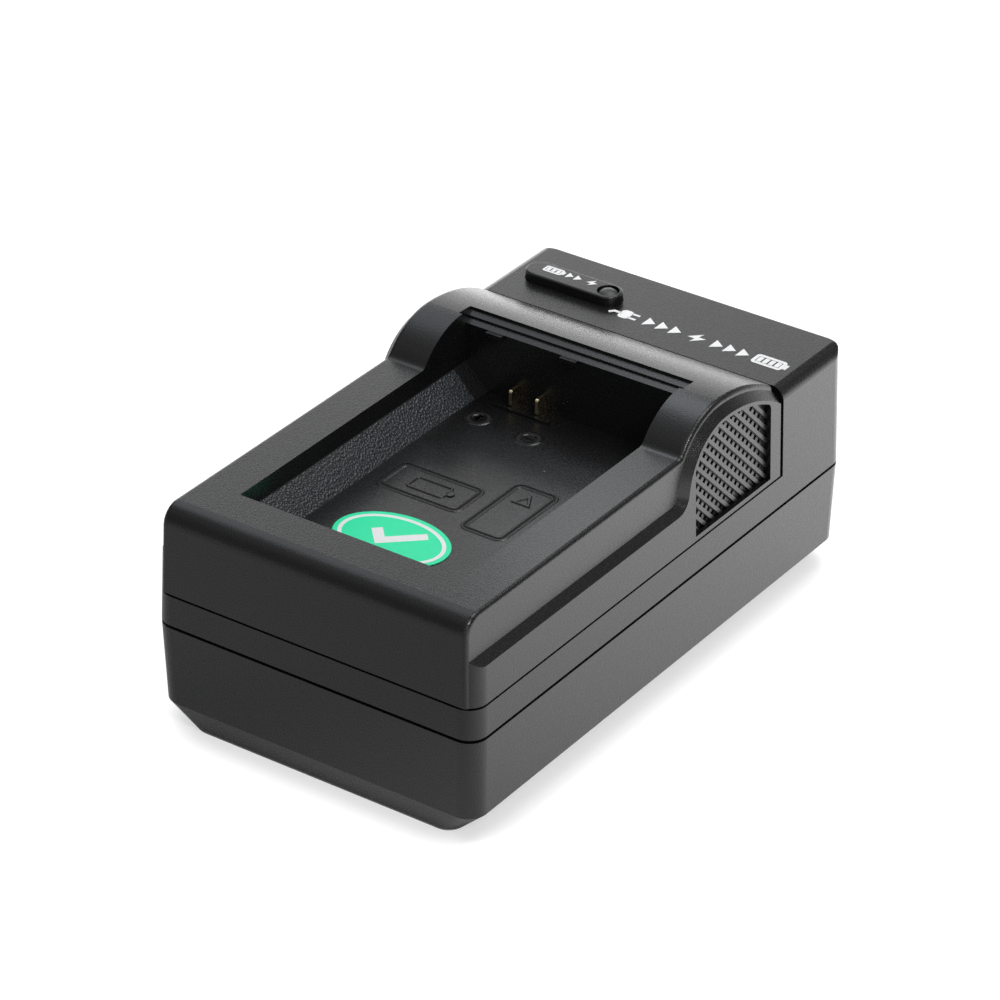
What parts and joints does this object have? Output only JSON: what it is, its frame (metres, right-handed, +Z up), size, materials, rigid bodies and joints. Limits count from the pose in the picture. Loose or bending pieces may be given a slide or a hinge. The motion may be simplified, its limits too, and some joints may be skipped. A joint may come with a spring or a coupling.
{
  "type": "camera battery charger",
  "caption": "Black plastic camera battery charger: sloped battery bay under an arched hump with vent grilles, rear block with a charge lamp, fold-out mains plug below.",
  "frame": {"origin": "on the surface it stands on, below the middle of the case", "axes": "+Z up, +Y towards the rear block with the lamp, +X to the right, front of the bay at -Y"},
  "size_m": [0.056, 0.0965, 0.0417],
  "materials": {
    "case_plastic": "fine spark-eroded grain",
    "grille_plastic": "satin",
    "window_plastic": "smooth",
    "led_lens": "clear lens",
    "contact_metal": "gold plated",
    "lead_red": "smooth",
    "lead_black": "smooth",
    "sticker_paper": "semi gloss",
    "barrel_plastic": "satin",
    "blade_metal": "nickel plated",
    "spring_metal": "rolled",
    "screw_metal": "zinc plated",
    "board_laminate": "solder mask",
    "jack_plastic": "moulded",
    "ferrite": "sintered",
    "bobbin_plastic": "moulded",
    "winding_tape": "tape",
    "capacitor_sleeve": "sleeve",
    "fuse_body": "coated",
    "diode_body": "moulded",
    "chip_body": "moulded"
  },
  "bodies": {
    "housing": {"lower_case": "case_plastic", "upper_case": "case_plastic", "battery_deck": "case_plastic", "vent_grille_right": "grille_plastic", "vent_grille_left": "grille_plastic", "charge_window": "window_plastic", "status_led": "led_lens", "contact_positive": "contact_metal", "contact_negative": "contact_metal", "contact_lead_positive": "lead_red", "contact_lead_negative": "lead_black", "inspection_sticker": "sticker_paper", "plug_cover": "barrel_plastic", "plug_spring_left": "spring_metal", "plug_spring_right": "spring_metal", "case_screws": "screw_metal", "board_screws": "screw_metal", "cover_screws": "screw_metal", "main_board": "board_laminate", "dc_jack": "jack_plastic", "transformer_core": "ferrite", "choke": "ferrite", "transformer_bobbin": "bobbin_plastic", "transformer_winding": "winding_tape", "input_capacitor": "capacitor_sleeve", "output_capacitor": "capacitor_sleeve", "fuse_resistor": "fuse_body", "rectifier_diodes": "diode_body", "controller_chip": "chip_body", "optocoupler": "chip_body", "charge_chip": "chip_body"},
    "plug": {"plug_barrel": "barrel_plastic", "plug_blade_left": "blade_metal", "plug_blade_right": "blade_metal"}
  },
  "joints": [
    {"name": "plug_fold", "type": "hinge", "parent": "housing", "child": "plug", "pos_m": [0, 0.014, 0.005], "axis": [1, 0, 0], "range_deg": [0, 90]}
  ]
}
